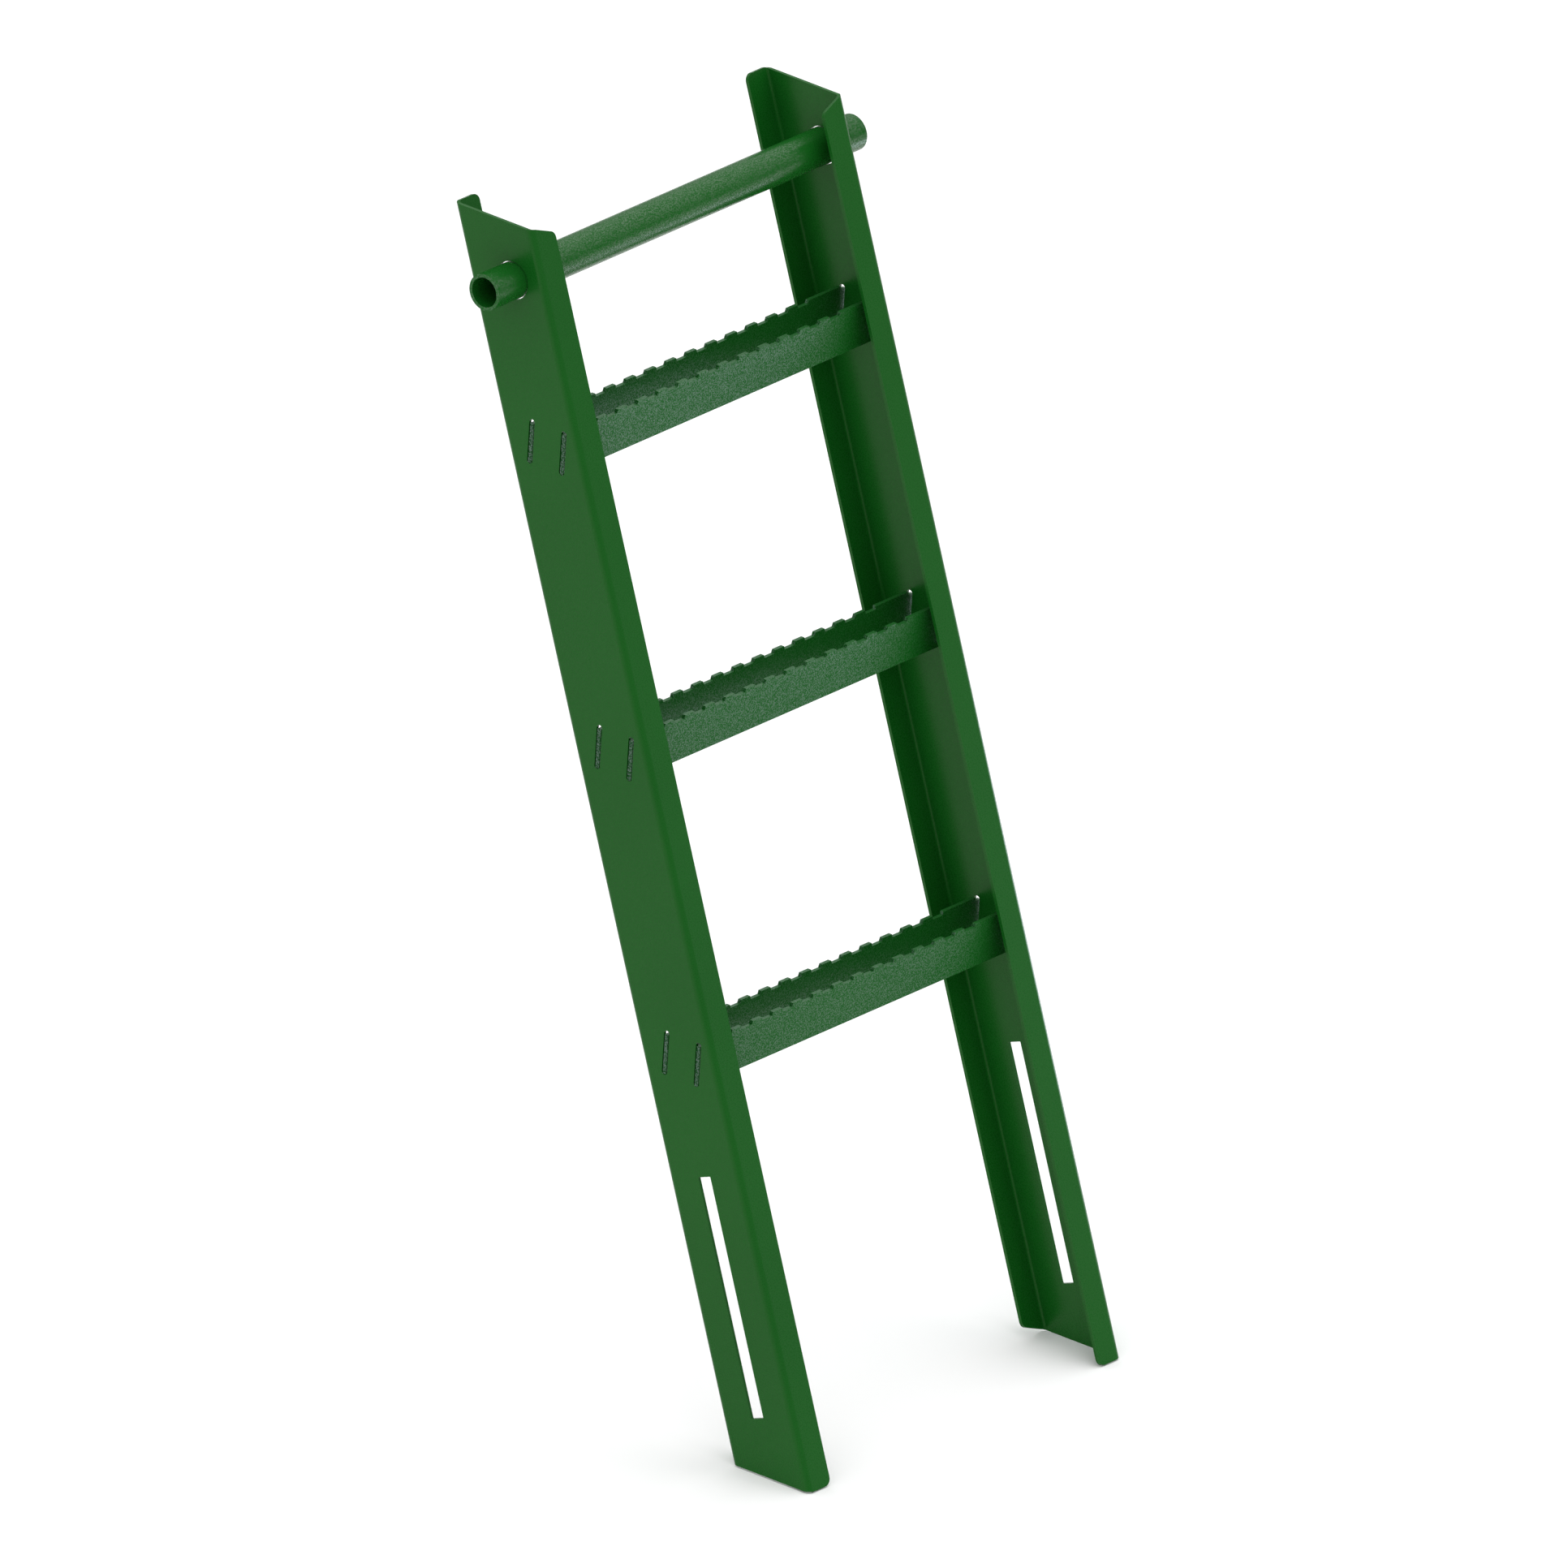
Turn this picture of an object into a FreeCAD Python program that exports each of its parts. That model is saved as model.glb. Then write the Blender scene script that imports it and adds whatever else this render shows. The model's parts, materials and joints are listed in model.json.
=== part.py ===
"""Access ladder for a machine: two bent sheet-metal side rails, three treads of two
serrated bars each, and a pivot tube that the rails hang on.

Frame: millimetres. The origin is on the pivot tube's axis, midway between the rails.
+X runs along the treads, the climber stands on the -Y side, and +Z is up with the treads
level. The rails lean back (+Y) towards their top.

Each rail is worked out as a flat blank that is folded: its outline is a function of the
developed width, so the slanted ends run on over the bends as they do on a cut blank.
"""
import FreeCAD, Part
import math
import os

Vec = FreeCAD.Vector

# ---- Driving dimensions (millimetres and degrees) ----
LEAN_DEG = 20.0            # rails from the vertical
OVERALL_WIDTH = 482.0      # over the outer faces of the two webs
SHEET = 3.5                # rail sheet thickness
BEND_INNER_R = 3.0         # inside radius of the rail bends
RAIL_DEPTH = 92.5          # front face to back face, square to the rail
FLANGE_WIDTH = 33.8        # web's outer face to a flange's free edge
RAIL_SETBACK = 7.4         # rail's centre line behind the tube's axis
RAIL_TOP_Z = 59.0          # level of the slanted top end, above the tube's axis
RAIL_BOTTOM_Z = -1153.5    # level of the slanted bottom end
FLANGE_CORNER_R = 8.0      # rounded free corners of the flanges

TUBE_OUTER_R = 19.0
TUBE_INNER_R = 15.5
TUBE_LENGTH = 568.0
TUBE_HOLE_R = 19.85        # hole in each web, a loose fit on the tube

SLOT_WIDTH = 16.0          # long mounting slot near each rail's foot
SLOT_TOP_U = -916.5        # slot ends, along the rail from the tube's axis
SLOT_BOTTOM_U = -1163.5
SLOT_CORNER_R = 0.8

RUNG_COUNT = 3
RUNG_PITCH = 312.5         # along the rail
RUNG_CREST_Z = -138.2      # tooth crests of the top rung
RUNG_CENTRE_Y = -55.7      # midway between the top rung's two bars
BAR_SPACING = 40.6         # between the middles of a rung's two bars
BAR_THICKNESS = 4.0
BAR_HEIGHT = 46.1          # bottom edge to tooth crest

TOOTH_PITCH = 31.23
TOOTH_DEPTH = 3.65
NOTCH_TOP_WIDTH = 17.4
NOTCH_FLANK = 1.3          # sideways run of a notch's sloping flank
NOTCH_COUNT = 13
FIRST_NOTCH = 29.1         # left web's inner face to the first notch
TAB_LENGTH = 8.5           # from a bar's end to the step up to its crest

TAB_SLOT_WIDTH = 7.0       # slot in the web round each tab, with half-round ends
TAB_GAP_ABOVE = 3.95       # slot past the tab's top edge
TAB_REST_GAP = 0.02        # between a tab's bottom corners and the slot's round end

# ---- Worked-out dimensions ----
BEND_OUTER_R = BEND_INNER_R + SHEET
NEUTRAL_R = BEND_INNER_R + 0.4 * SHEET
BEND_ARC = NEUTRAL_R * math.pi / 2
END_SLOPE = math.tan(math.radians(LEAN_DEG))
COS_LEAN = math.cos(math.radians(LEAN_DEG))
SIN_LEAN = math.sin(math.radians(LEAN_DEG))
RAIL_FRONT = RAIL_SETBACK - RAIL_DEPTH / 2
RAIL_BACK = RAIL_SETBACK + RAIL_DEPTH / 2
WEB_FRONT = RAIL_FRONT + BEND_OUTER_R      # where the flat web meets the front bend
WEB_BACK = RAIL_BACK - BEND_OUTER_R        # where the flat web meets the back bend
TAB_TOP = BAR_HEIGHT - TOOTH_DEPTH
TAB_SLOT_R = TAB_SLOT_WIDTH / 2
# The tab's bottom corners rest on the slot's round end, this far above its lowest point.
TAB_REST = TAB_SLOT_R - math.sqrt(TAB_SLOT_R ** 2 - (BAR_THICKNESS / 2) ** 2) + TAB_REST_GAP
PAST_WALL = 10.0                           # how far a cutting tool runs past a wall
BEND_STEPS = 6                             # sections along each bend


def end_u(level, back):
    """Height along the rail of a slanted end, `back` behind the tube's axis in the web."""
    return (level + back * SIN_LEAN) / COS_LEAN


def solid_from(outline, direction):
    """Push a closed wire along a vector."""
    return Part.Face(outline).extrude(direction)


def rounded_polygon(points, radii):
    """Closed wire through 3-D points, each corner rounded by its own radius (0 = sharp)."""
    edges = []
    count = len(points)
    starts = []
    ends = []
    middles = []
    for i, corner in enumerate(points):
        before = (points[i - 1] - corner).normalize()
        after = (points[(i + 1) % count] - corner).normalize()
        half = before.getAngle(after) / 2
        reach = radii[i] / math.tan(half) if radii[i] else 0.0
        starts.append(corner + before * reach)
        ends.append(corner + after * reach)
        if radii[i]:
            inward = (before + after).normalize()
            middles.append(corner + inward * (radii[i] / math.sin(half) - radii[i]))
        else:
            middles.append(None)
    for i in range(count):
        if middles[i]:
            edges.append(Part.Arc(starts[i], middles[i], ends[i]).toShape())
        edges.append(Part.LineSegment(ends[i], starts[(i + 1) % count]).toShape())
    return Part.Wire(edges)


# ---- Side rail, upright: X inward from the web's outer face, Y back, Z along the rail ----

def web_plate():
    """Flat web with its two slanted ends."""
    points = [
        Vec(0, WEB_FRONT, end_u(RAIL_BOTTOM_Z, WEB_FRONT)),
        Vec(0, WEB_BACK, end_u(RAIL_BOTTOM_Z, WEB_BACK)),
        Vec(0, WEB_BACK, end_u(RAIL_TOP_Z, WEB_BACK)),
        Vec(0, WEB_FRONT, end_u(RAIL_TOP_Z, WEB_FRONT)),
    ]
    return solid_from(rounded_polygon(points, [0, 0, 0, 0]), Vec(SHEET, 0, 0))


def bend(is_front):
    """Quarter bend between the web and a flange, with the blank's end lines wrapped on it."""
    axis_y = WEB_FRONT if is_front else WEB_BACK
    outward = -1 if is_front else 1
    sections = []
    for step in range(BEND_STEPS + 1):
        share = step / BEND_STEPS
        angle = share * math.pi / 2
        across = Vec(-math.cos(angle), outward * math.sin(angle), 0)
        centre = Vec(BEND_OUTER_R, axis_y, 0)
        inner = centre + across * BEND_INNER_R
        outer = centre + across * BEND_OUTER_R
        low, high = bend_levels(is_front, share)
        corners = [inner + Vec(0, 0, low), outer + Vec(0, 0, low),
                   outer + Vec(0, 0, high), inner + Vec(0, 0, high)]
        sections.append(Part.makePolygon(corners + corners[:1]))
    return Part.makeLoft(sections, True, False)


def bend_levels(is_front, share):
    """Bottom and top of a bend, a share of the way from the web to the flange.

    The blank's slanted end line runs straight on over the bend.
    """
    web_edge = WEB_FRONT if is_front else WEB_BACK
    travelled = share * BEND_ARC * (-1 if is_front else 1)
    low = end_u(RAIL_BOTTOM_Z, web_edge) + END_SLOPE * travelled
    high = end_u(RAIL_TOP_Z, web_edge) + END_SLOPE * travelled
    return low, high


def flange(is_front):
    """Flat flange with rounded free corners.

    Its obtuse end carries the slanted cut on; its pointed end is cut square.
    """
    outer_y = RAIL_FRONT if is_front else RAIL_BACK
    inward_y = SHEET if is_front else -SHEET
    low, high = bend_levels(is_front, 1)
    drop = END_SLOPE * (FLANGE_WIDTH - BEND_OUTER_R)
    if is_front:
        free_low = low
        free_high = high - drop
    else:
        free_low = low + drop
        free_high = high
    points = [
        Vec(BEND_OUTER_R, outer_y, low),
        Vec(FLANGE_WIDTH, outer_y, free_low),
        Vec(FLANGE_WIDTH, outer_y, free_high),
        Vec(BEND_OUTER_R, outer_y, high),
    ]
    radii = [0, FLANGE_CORNER_R, FLANGE_CORNER_R, 0]
    return solid_from(rounded_polygon(points, radii), Vec(0, inward_y, 0))


def slot_tool(centre_y, centre_z, width, length, corner_r):
    """Cutter for an upright straight slot with rounded corners, through a web in X."""
    half_w = width / 2
    half_l = length / 2
    points = [
        Vec(-PAST_WALL, centre_y - half_w, centre_z - half_l),
        Vec(-PAST_WALL, centre_y + half_w, centre_z - half_l),
        Vec(-PAST_WALL, centre_y + half_w, centre_z + half_l),
        Vec(-PAST_WALL, centre_y - half_w, centre_z + half_l),
    ]
    wire = rounded_polygon(points, [corner_r] * 4)
    return solid_from(wire, Vec(2 * PAST_WALL + SHEET, 0, 0))


def tab_slot_tool(centre_y, low, high):
    """Cutter for a plumb slot with half-round ends, through a web in X."""
    reach = 2 * PAST_WALL + SHEET
    across = Vec(1, 0, 0)
    round_low = Vec(-PAST_WALL, centre_y, low + TAB_SLOT_R)
    round_high = Vec(-PAST_WALL, centre_y, high - TAB_SLOT_R)
    corner = Vec(-PAST_WALL, centre_y - TAB_SLOT_R, low + TAB_SLOT_R)
    middle = Part.makeBox(reach, TAB_SLOT_WIDTH, high - low - TAB_SLOT_WIDTH, corner)
    ends = [Part.makeCylinder(TAB_SLOT_R, reach, end, across) for end in (round_low, round_high)]
    return middle.multiFuse(ends).removeSplitter()


def leaned(shape):
    """Lean an upright shape back about the tube's axis."""
    shape.rotate(Vec(0, 0, 0), Vec(1, 0, 0), -LEAN_DEG)
    return shape


def rung_offset(index):
    """From the top rung to rung `index`, down the leaning rail."""
    return Vec(0, -SIN_LEAN, -COS_LEAN) * (RUNG_PITCH * index)


def bar_centres(index):
    """Front and back bar of a rung: Y of the bar's middle, Z of its bottom edge."""
    offset = rung_offset(index)
    bottom = RUNG_CREST_Z - BAR_HEIGHT + offset.z
    middle = RUNG_CENTRE_Y + offset.y
    return {"front": (middle - BAR_SPACING / 2, bottom),
            "back": (middle + BAR_SPACING / 2, bottom)}


def left_rail():
    """The left rail, leaning, with its web's outer face on X = 0."""
    blank = web_plate().multiFuse([bend(True), bend(False), flange(True), flange(False)])
    blank = blank.removeSplitter()
    tube_hole = Part.makeCylinder(TUBE_HOLE_R, 2 * PAST_WALL + SHEET, Vec(-PAST_WALL, 0, 0), Vec(1, 0, 0))
    long_slot = slot_tool(RAIL_SETBACK, (SLOT_TOP_U + SLOT_BOTTOM_U) / 2,
                          SLOT_WIDTH, SLOT_TOP_U - SLOT_BOTTOM_U, SLOT_CORNER_R)
    rail = leaned(blank.cut([tube_hole, long_slot]))
    tab_slots = []
    for index in range(RUNG_COUNT):
        for bar_y, bottom in bar_centres(index).values():
            low = bottom - TAB_REST
            high = bottom + TAB_TOP + TAB_GAP_ABOVE
            tab_slots.append(tab_slot_tool(bar_y, low, high))
    return rail.cut(tab_slots)


# ---- Tread bar ----

def tread_bar(bar_y, bottom):
    """Upstanding flat bar: notched top edge, and a tab at each end that fills a rail's slot."""
    end = OVERALL_WIDTH / 2
    step = end - TAB_LENGTH
    flank = NOTCH_FLANK
    profile = [(-end, 0), (end, 0), (end, TAB_TOP), (step, TAB_TOP), (step, BAR_HEIGHT)]
    for notch in reversed(range(NOTCH_COUNT)):
        left = -end + SHEET + FIRST_NOTCH + notch * TOOTH_PITCH
        right = left + NOTCH_TOP_WIDTH
        profile += [(right, BAR_HEIGHT), (right - flank, TAB_TOP),
                    (left + flank, TAB_TOP), (left, BAR_HEIGHT)]
    profile += [(-step, BAR_HEIGHT), (-step, TAB_TOP), (-end, TAB_TOP)]
    face_y = bar_y - BAR_THICKNESS / 2
    points = [Vec(x, face_y, bottom + z) for x, z in profile]
    return solid_from(Part.makePolygon(points + points[:1]), Vec(0, BAR_THICKNESS, 0))


# ---- Pivot tube ----

def pivot_tube():
    """Open tube, longer than the ladder is wide by the same amount on each side."""
    start = Vec(-TUBE_LENGTH / 2, 0, 0)
    outside = Part.makeCylinder(TUBE_OUTER_R, TUBE_LENGTH, start, Vec(1, 0, 0))
    inside = Part.makeCylinder(TUBE_INNER_R, TUBE_LENGTH, start, Vec(1, 0, 0))
    return outside.cut(inside)


def build():
    """All pieces of the ladder, by node name."""
    rail = left_rail()
    right = rail.mirror(Vec(0, 0, 0), Vec(1, 0, 0))
    rail.translate(Vec(-OVERALL_WIDTH / 2, 0, 0))
    right.translate(Vec(OVERALL_WIDTH / 2, 0, 0))
    pieces = {"left_rail": rail, "right_rail": right, "pivot_tube": pivot_tube()}
    names = ["top", "middle", "bottom"]
    for index in range(RUNG_COUNT):
        for side, (bar_y, bottom) in bar_centres(index).items():
            pieces[names[index] + "_rung_" + side + "_bar"] = tread_bar(bar_y, bottom)
    return pieces


os.makedirs("parts", exist_ok=True)
for node, shape in build().items():
    shape.exportStep(os.path.join("parts", node + ".step"))
    print(node, "solids", len(shape.Solids), "valid", shape.isValid(), "volume", round(shape.Volume))
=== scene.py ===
"""Looks for the machine access ladder: green powder paint on sheet steel, a pale floor,
soft studio light and a camera without perspective. Metres and degrees, in the CAD frame."""
import json
import math

import bpy
from mathutils import Matrix, Vector


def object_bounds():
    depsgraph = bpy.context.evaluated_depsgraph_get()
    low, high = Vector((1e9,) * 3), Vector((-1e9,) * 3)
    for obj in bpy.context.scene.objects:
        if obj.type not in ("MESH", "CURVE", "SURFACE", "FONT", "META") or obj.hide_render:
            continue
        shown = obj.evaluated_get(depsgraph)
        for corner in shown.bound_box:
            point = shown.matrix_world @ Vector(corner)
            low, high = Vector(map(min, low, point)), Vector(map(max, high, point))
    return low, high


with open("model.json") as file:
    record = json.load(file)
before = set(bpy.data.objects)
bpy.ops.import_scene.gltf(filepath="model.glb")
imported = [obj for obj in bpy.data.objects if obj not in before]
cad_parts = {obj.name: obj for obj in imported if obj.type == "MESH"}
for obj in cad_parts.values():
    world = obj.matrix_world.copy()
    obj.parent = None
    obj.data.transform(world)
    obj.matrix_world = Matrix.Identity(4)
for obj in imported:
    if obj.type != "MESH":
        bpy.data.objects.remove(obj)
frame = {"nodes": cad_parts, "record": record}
cad_lo, cad_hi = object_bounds()

# ---- Camera ----
CAMERA_AZIMUTH = -51.81      # 0 looks along +Y
CAMERA_ELEVATION = 23.64
CAMERA_ROLL = 3.44
VIEW_WIDTH = 1.539           # metres across the picture
CAMERA_DISTANCE = 6.0
CLIP_END = 100.0
FRAME_RIGHT = -0.0036        # picture's centre from the ladder's centre, as seen
FRAME_UP = -0.0044

# ---- Floor ----
FLOOR_SIZE = 60.0
FLOOR_DROP = 0.0005          # keeps the floor off the rails' cut feet
FLOOR_PATCH_SIZE = 0.8
FLOOR_DARK = (0.93, 0.93, 0.93)
FLOOR_PALE = (0.95, 0.95, 0.95)
FLOOR_ROUGHNESS = 0.9
FLOOR_SHINE = 0.1

# ---- Light ----
SKY_HORIZON = 0.20           # brightness of the surroundings, level with the eye
SKY_ZENITH = 1.75            # and straight overhead
LIGHT_PLACE = (1.6, -0.60, -1.12)
LIGHT_AIM = (0.0, -0.40, -0.95)
LIGHT_SIZE = 0.80
LIGHT_POWER = 3.0            # watts
LIGHT_SPREAD = 90.0          # full angle of its beam
LIGHT_COLOUR = (0.78, 0.92, 1.0)

# ---- Paint (linear colour) ----
WHITE = (1.0, 1.0, 1.0)
# Reflection tints: painted colours of reflected light, warm for the rails and cool for the treads
WARM = (1.0, 0.98, 0.85)
COOL = (0.84, 0.94, 1.0)
PAINT = (0.0055, 0.098, 0.009)
PAINT_DARK = (0.0045, 0.090, 0.008)
PAINT_EDGE_HIGHLIGHT = (0.022, 0.125, 0.024)     # painted highlight over sharp edges
PAINT_SHADED_ENDS = (0.004, 0.052, 0.008)  # painted shade on the sawn ends of the treads' bars, which sit in the rails' slots

# Shine is the reflection level between the speckle's bright grains, sparkle is that of the grains,
# and tint is the reflection's colour, a painted colour of the reflected light: warm on the rails
# and cool on the treads.
FINISHES = {
    "rail_paint": dict(grain_height=0.00001, roughness=0.28, shine=0.16, sparkle=0.20, tint=WARM),
    "tread_paint": dict(grain_height=0.00022, roughness=0.44, shine=0.06, sparkle=0.80, tint=COOL),
    "tube_paint": dict(grain_height=0.00014, roughness=0.28, shine=0.12, sparkle=0.78, tint=WHITE),
}
TREAD_FINISH = "tread_paint"
END_SPARKLE = 0.6            # added to the bright grains' reflection on those ends
TOP_SHINE = 0.45             # added to the reflection of the treads' rubbed top faces
ROUGHNESS_CHANGE = 0.04      # from the middle roughness to the roughest and smoothest grains

# ---- Sizes of the paint's texture ----
PATCH_SIZE = 0.25            # slow change of tone along a rail
PEEL_SIZE = 0.0045           # gentle waves of the paint's skin
PEEL_HEIGHT = 0.00002
GRAIN_SIZE = 0.0014          # specks in the paint that catch the light
GRID_TILT = (0.6, 0.5, 0.4)  # radians, turns the grain's own grid off the treads' faces
EDGE_RADIUS = 0.0006         # how far in from an edge the painted highlight reaches
EDGE_SAMPLES = 6
PATCH_DETAIL = 3.0           # finer layers of noise in the slow change of tone
FINE_DETAIL = 2.0            # and in all the other noise
SHARP_ANGLE = 35.0           # an edge that turns by more than this stays sharp

# ---- Where each effect starts, and where it is full ----
PATCH_FADE = (0.35, 0.65)    # values of noise, and so on down to the fade of the edges' painted highlight
GRAIN_FADE = (0.45, 0.62)
END_GRAIN_FADE = (0.48, 0.58)
GLOSS_FADE = (0.3, 0.7)
EDGE_HIGHLIGHT_FADE = (0.3, 0.6)
LEAST_EDGE_HIGHLIGHT = 0.4             # paint on an edge is at least this far towards its painted highlight colour
EDGE_FADE = (0.97, 0.80)     # cosine of how far a rounded normal leans
FACING_FADE = (0.90, 0.98)   # cosine of the angle between a face's normal and an axis

# The Mix node's colour sockets share their names with its other sockets, so they go by number.
MIX_FIRST, MIX_SECOND, MIX_RESULT = 6, 7, 2


def node(tree, kind, **values):
    """Add a shader node and set its input sockets by name."""
    made = tree.nodes.new(kind)
    for name, value in values.items():
        made.inputs[name.replace("_", " ")].default_value = value
    return made


def coordinate(tree, kind):
    """Texture coordinate of one kind."""
    return tree.nodes.new("ShaderNodeTexCoord").outputs[kind]


def noise(tree, place, size, detail):
    """Noise texture whose features are about `size` metres across."""
    made = node(tree, "ShaderNodeTexNoise", Scale=1.0 / size, Detail=detail)
    tree.links.new(place, made.inputs["Vector"])
    return made.outputs["Fac"]


def tilted(tree, place):
    """Turn the noise's grid, because the noise is weak on a face that lies along it."""
    made = node(tree, "ShaderNodeMapping", Rotation=GRID_TILT)
    tree.links.new(place, made.inputs["Vector"])
    return made.outputs["Vector"]


def mixed(tree, factor, first, second):
    """Blend two colours, given as sockets or values, by a factor socket."""
    made = tree.nodes.new("ShaderNodeMix")
    made.data_type = "RGBA"
    tree.links.new(factor, made.inputs["Factor"])
    for socket, colour in ((made.inputs[MIX_FIRST], first), (made.inputs[MIX_SECOND], second)):
        if isinstance(colour, tuple):
            socket.default_value = (*colour, 1.0)
        else:
            tree.links.new(colour, socket)
    return made.outputs[MIX_RESULT]


def remapped(tree, value, fade, to_low, to_high):
    """Map the two ends of a fade onto two values, clamped outside them."""
    low, high = fade
    made = node(tree, "ShaderNodeMapRange",
                From_Min=low, From_Max=high, To_Min=to_low, To_Max=to_high)
    tree.links.new(value, made.inputs["Value"])
    return made.outputs["Result"]


def calculated(tree, operation, *terms):
    """Result of one step of arithmetic on sockets and numbers."""
    made = tree.nodes.new("ShaderNodeMath")
    made.operation = operation
    for socket, term in zip(made.inputs, terms):
        if isinstance(term, float):
            socket.default_value = term
        else:
            tree.links.new(term, socket)
    return made.outputs["Value"]


def edge_mask(tree):
    """1 on sharp edges and 0 on flat faces, from how far a rounded normal leans."""
    rounded = node(tree, "ShaderNodeBevel", Radius=EDGE_RADIUS)
    rounded.samples = EDGE_SAMPLES
    flat = tree.nodes.new("ShaderNodeNewGeometry")
    dot = tree.nodes.new("ShaderNodeVectorMath")
    dot.operation = "DOT_PRODUCT"
    tree.links.new(rounded.outputs["Normal"], dot.inputs[0])
    tree.links.new(flat.outputs["Normal"], dot.inputs[1])
    return remapped(tree, dot.outputs["Value"], EDGE_FADE, 0.0, 1.0)


def facing_mask(tree, axis):
    """1 on faces square to an axis, such as the sawn ends of the bars for X, and 0 elsewhere."""
    facing = tree.nodes.new("ShaderNodeSeparateXYZ")
    tree.links.new(coordinate(tree, "Normal"), facing.inputs["Vector"])
    cosine = calculated(tree, "ABSOLUTE", facing.outputs[axis])
    return remapped(tree, cosine, FACING_FADE, 0.0, 1.0)


def painted_steel(name, grain_height, roughness, shine, sparkle, tint):
    """Satin green powder paint: slow tone patches, fine speckle, and a painted highlight on sharp
    edges.

    The sawn ends of a tread's bars carry painted shade and bright grains, and boots have rubbed
    their top faces shiny.
    """
    made = bpy.data.materials.new(name)
    made.use_nodes = True
    tree = made.node_tree
    shader = tree.nodes["Principled BSDF"]
    place = coordinate(tree, "Object")
    is_tread = name == TREAD_FINISH

    patches = remapped(tree, noise(tree, place, PATCH_SIZE, PATCH_DETAIL), PATCH_FADE, 0.0, 1.0)
    speckle = noise(tree, tilted(tree, place), GRAIN_SIZE, FINE_DETAIL)
    body = mixed(tree, patches, PAINT_DARK, PAINT)
    uneven_edge_highlight = remapped(tree, speckle, EDGE_HIGHLIGHT_FADE, LEAST_EDGE_HIGHLIGHT, 1.0)
    # Sharp edges get a painted highlight: paler green mixed in by the edge mask and the speckle
    colour = mixed(tree, calculated(tree, "MULTIPLY", edge_mask(tree), uneven_edge_highlight), body, PAINT_EDGE_HIGHLIGHT)
    if is_tread:
        # Painted shade: the bars' sawn ends, in the rails' slots, get a darker green
        colour = mixed(tree, facing_mask(tree, "X"), colour, PAINT_SHADED_ENDS)
    tree.links.new(colour, shader.inputs["Base Color"])

    roughest, smoothest = roughness + ROUGHNESS_CHANGE, roughness - ROUGHNESS_CHANGE
    gloss = remapped(tree, speckle, GLOSS_FADE, roughest, smoothest)
    tree.links.new(gloss, shader.inputs["Roughness"])
    level = remapped(tree, speckle, GRAIN_FADE, shine, sparkle)
    if is_tread:
        sparks = remapped(tree, speckle, END_GRAIN_FADE, 0.0, END_SPARKLE)
        level = calculated(tree, "MULTIPLY_ADD", facing_mask(tree, "X"), sparks, level)
        level = calculated(tree, "MULTIPLY_ADD", facing_mask(tree, "Z"), TOP_SHINE, level)
    tree.links.new(level, shader.inputs["Specular IOR Level"])
    shader.inputs["Specular Tint"].default_value = (*tint, 1.0)

    waves = node(tree, "ShaderNodeBump", Strength=1.0, Distance=PEEL_HEIGHT)
    tree.links.new(noise(tree, place, PEEL_SIZE, FINE_DETAIL), waves.inputs["Height"])
    grain = node(tree, "ShaderNodeBump", Strength=1.0, Distance=grain_height)
    tree.links.new(speckle, grain.inputs["Height"])
    tree.links.new(waves.outputs["Normal"], grain.inputs["Normal"])
    tree.links.new(grain.outputs["Normal"], shader.inputs["Normal"])
    return made


def paint_pieces():
    """Give each CAD piece the paint of its record slot."""
    paints = {name: painted_steel(name, **finish) for name, finish in FINISHES.items()}
    for entry in frame["record"]["subparts"]:
        piece = frame["nodes"][entry["node"]]
        for holder in piece.material_slots:
            holder.material = paints[entry["material_slot"]]


def smooth_bends():
    """Shade the bends and the tube round, and keep the sharp edges sharp."""
    for piece in frame["nodes"].values():
        piece.data.shade_smooth()
        piece.data.set_sharp_from_angle(angle=math.radians(SHARP_ANGLE))


def floor():
    """Plain pale floor under the rails' feet."""
    half = FLOOR_SIZE / 2
    level = cad_lo.z - FLOOR_DROP
    corners = [(x * half, y * half, level) for x, y in ((-1, -1), (1, -1), (1, 1), (-1, 1))]
    mesh = bpy.data.meshes.new("floor")
    mesh.from_pydata(corners, [], [(0, 1, 2, 3)])
    made = bpy.data.objects.new("floor", mesh)
    bpy.context.scene.collection.objects.link(made)
    paint = bpy.data.materials.new("floor")
    paint.use_nodes = True
    tree = paint.node_tree
    shader = tree.nodes["Principled BSDF"]
    patches = noise(tree, coordinate(tree, "Object"), FLOOR_PATCH_SIZE, FINE_DETAIL)
    tree.links.new(mixed(tree, patches, FLOOR_DARK, FLOOR_PALE), shader.inputs["Base Color"])
    shader.inputs["Roughness"].default_value = FLOOR_ROUGHNESS
    shader.inputs["Specular IOR Level"].default_value = FLOOR_SHINE
    mesh.materials.append(paint)


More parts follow.
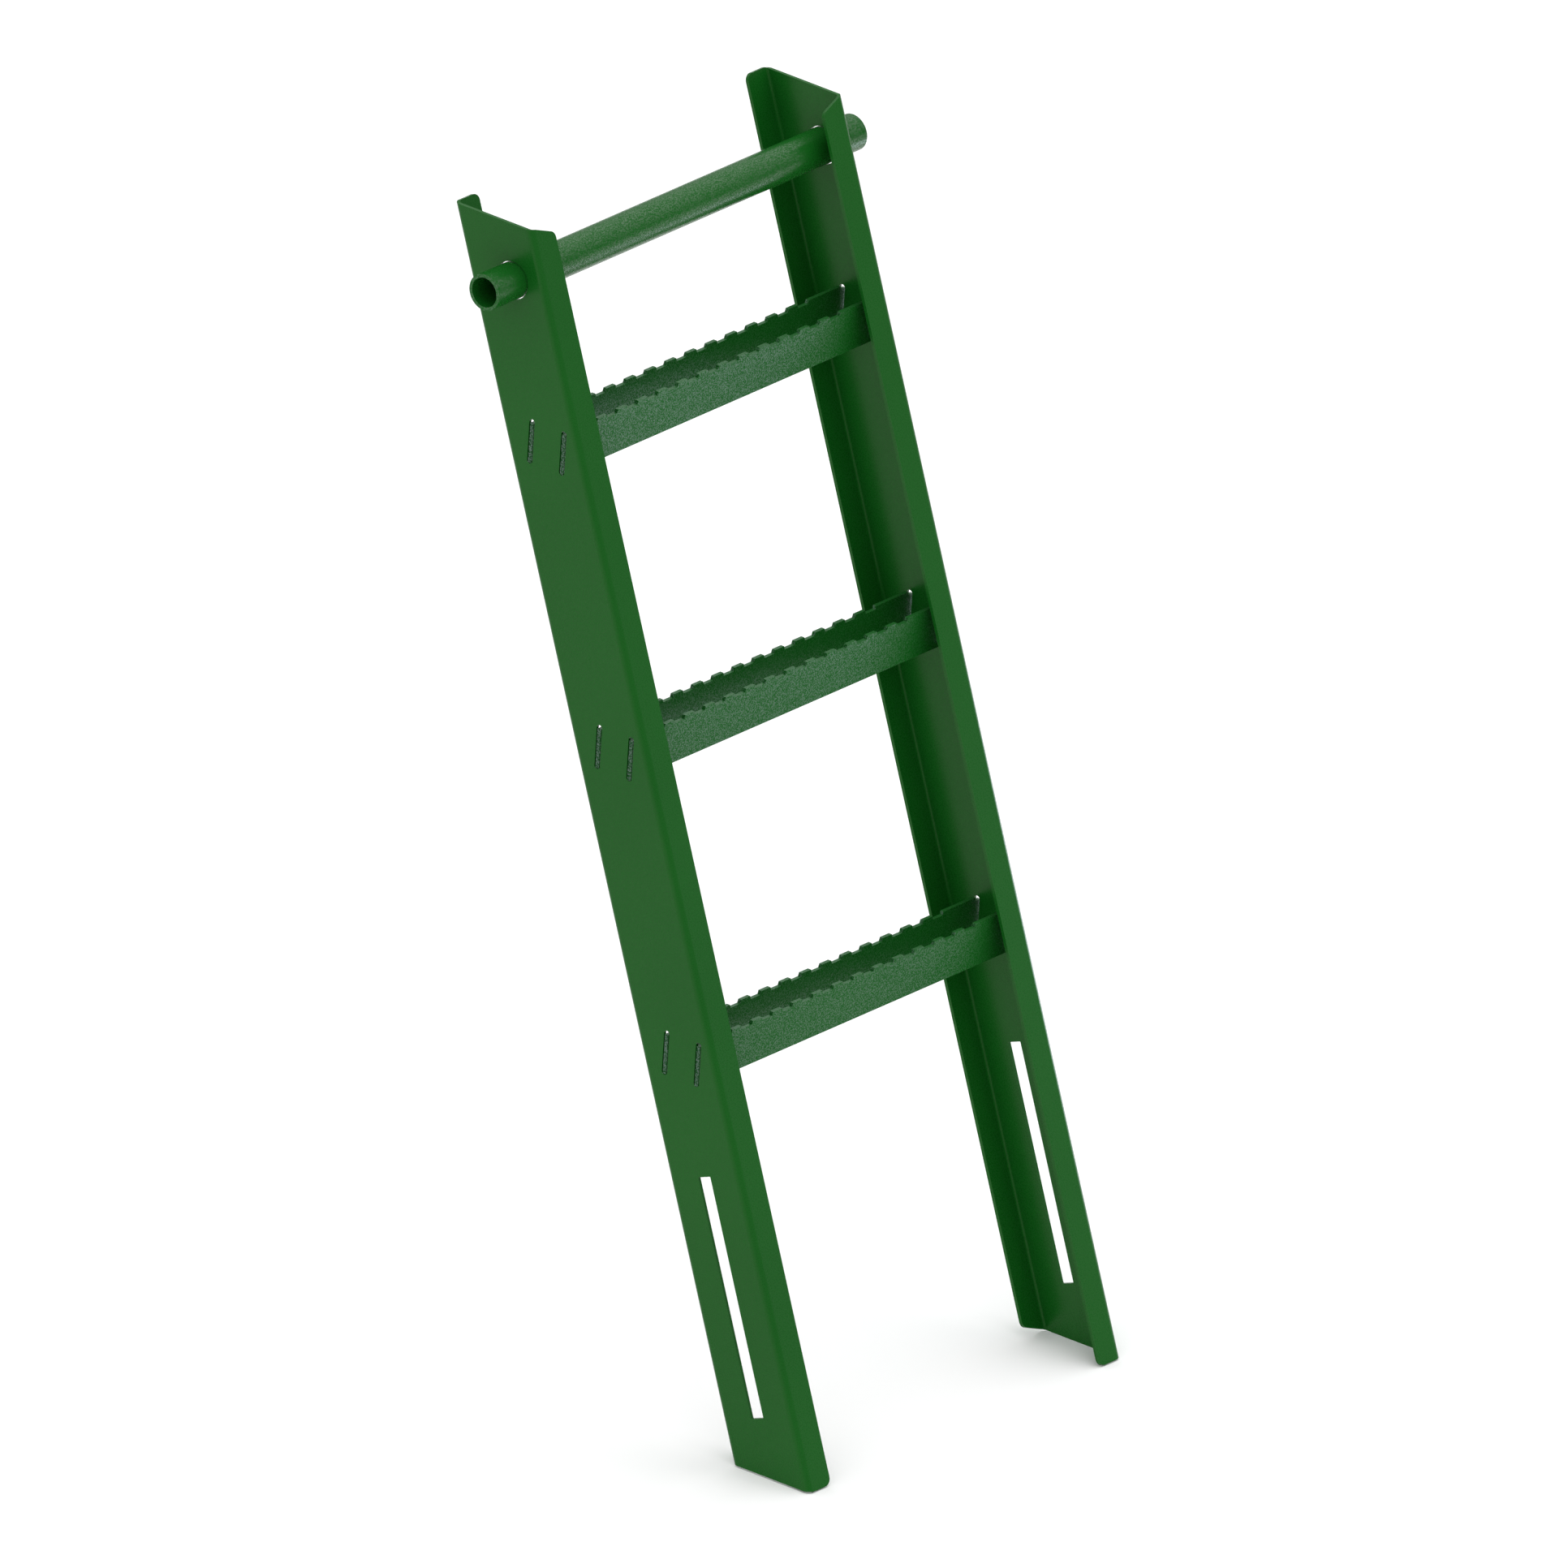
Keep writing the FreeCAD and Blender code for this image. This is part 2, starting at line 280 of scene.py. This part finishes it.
def surroundings():
    """White studio that gives more light from overhead than from eye level.

    It looks white all round, because the camera sees it at full brightness or more.
    """
    world = bpy.data.worlds.new("studio")
    world.use_nodes = True
    tree = world.node_tree
    direction = tree.nodes.new("ShaderNodeSeparateXYZ")
    tree.links.new(coordinate(tree, "Generated"), direction.inputs["Vector"])
    light = remapped(tree, direction.outputs["Z"], (0.0, 1.0), SKY_HORIZON, SKY_ZENITH)
    is_seen = tree.nodes.new("ShaderNodeLightPath").outputs["Is Camera Ray"]
    background = tree.nodes["Background"]
    tree.links.new(calculated(tree, "MAXIMUM", is_seen, light), background.inputs["Strength"])
    background.inputs["Color"].default_value = (*WHITE, 1.0)
    bpy.context.scene.world = world


def soft_light():
    """One large soft light, low at the front right, that glances along the treads."""
    lamp = bpy.data.lights.new("low_right", "AREA")
    lamp.shape = "SQUARE"
    lamp.size = LIGHT_SIZE
    lamp.spread = math.radians(LIGHT_SPREAD)
    lamp.energy = LIGHT_POWER
    lamp.color = LIGHT_COLOUR
    made = bpy.data.objects.new("low_right", lamp)
    made.location = LIGHT_PLACE
    made.rotation_mode = "QUATERNION"
    made.rotation_quaternion = (Vector(LIGHT_AIM) - Vector(LIGHT_PLACE)).to_track_quat("-Z", "Y")
    bpy.context.scene.collection.objects.link(made)


def camera():
    """Camera without perspective, at the picture's angle, with its slight roll."""
    azimuth = math.radians(CAMERA_AZIMUTH)
    elevation = math.radians(CAMERA_ELEVATION)
    back = Vector((math.sin(azimuth) * math.cos(elevation),
                   -math.cos(azimuth) * math.cos(elevation),
                   math.sin(elevation)))
    level_right = Vector((math.cos(azimuth), math.sin(azimuth), 0.0))
    right = Matrix.Rotation(math.radians(CAMERA_ROLL), 3, back) @ level_right
    up = back.cross(right)
    aim = (cad_lo + cad_hi) / 2 + right * FRAME_RIGHT + up * FRAME_UP
    turn = Matrix((right, up, back)).transposed().to_4x4()

    lens = bpy.data.cameras.new("camera")
    lens.type = "ORTHO"
    lens.ortho_scale = VIEW_WIDTH
    lens.clip_end = CLIP_END
    made = bpy.data.objects.new("camera", lens)
    made.matrix_world = Matrix.Translation(aim + back * CAMERA_DISTANCE) @ turn
    bpy.context.scene.collection.objects.link(made)
    bpy.context.scene.camera = made


paint_pieces()
smooth_bends()
floor()
surroundings()
soft_light()
camera()
bpy.context.scene.view_settings.view_transform = "Standard"
